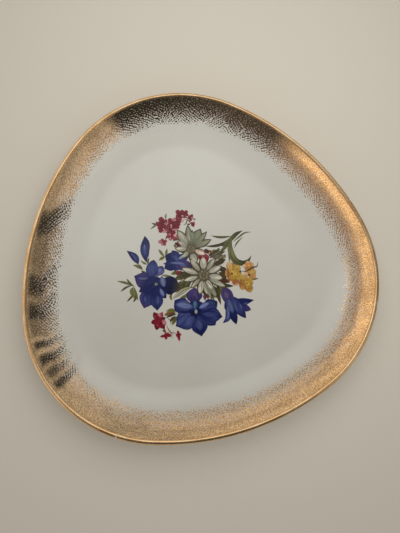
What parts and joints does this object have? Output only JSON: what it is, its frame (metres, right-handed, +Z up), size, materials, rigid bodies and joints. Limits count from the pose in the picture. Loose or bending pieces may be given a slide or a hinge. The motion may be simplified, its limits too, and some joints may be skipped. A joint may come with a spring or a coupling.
{
  "type": "coupe plate",
  "caption": "Rounded triangular porcelain coupe plate with a foot ring, a stippled gold rim band and an alpine flower bouquet in enamels.",
  "frame": {"origin": "on the resting plane, under the middle of the outline's box", "axes": "+Z up out of the well, +Y towards one of the three corners, +X along the opposite side"},
  "size_m": [0.2028, 0.2006, 0.021],
  "materials": {
    "porcelain": "bare fired porcelain, fine matt",
    "glaze": "clear gloss glaze over off-white porcelain",
    "gold": "fired gilding: bright on the lip, stippled on the band",
    "blue_enamel": "fired overglaze enamel, gloss",
    "white_enamel": "fired overglaze enamel, gloss",
    "crimson_enamel": "fired overglaze enamel, gloss",
    "yellow_enamel": "fired overglaze enamel, gloss",
    "green_enamel": "fired overglaze enamel, gloss"
  },
  "bodies": {
    "root": {"porcelain_body": "porcelain", "glaze_face": "glaze", "glaze_back": "glaze", "glaze_recess": "glaze", "gilt_lip_line": "gold", "brocade_gold_band": "gold", "gentian_front": "blue_enamel", "gentian_left": "blue_enamel", "gentian_bell": "blue_enamel", "gentian_back": "blue_enamel", "gentian_buds": "blue_enamel", "edelweiss_large": "white_enamel", "edelweiss_small": "white_enamel", "alpine_rose_upper": "crimson_enamel", "alpine_rose_lower": "crimson_enamel", "yellow_flowers": "yellow_enamel", "grass_blades": "green_enamel", "leaf_sprigs": "green_enamel"}
  },
  "joints": []
}
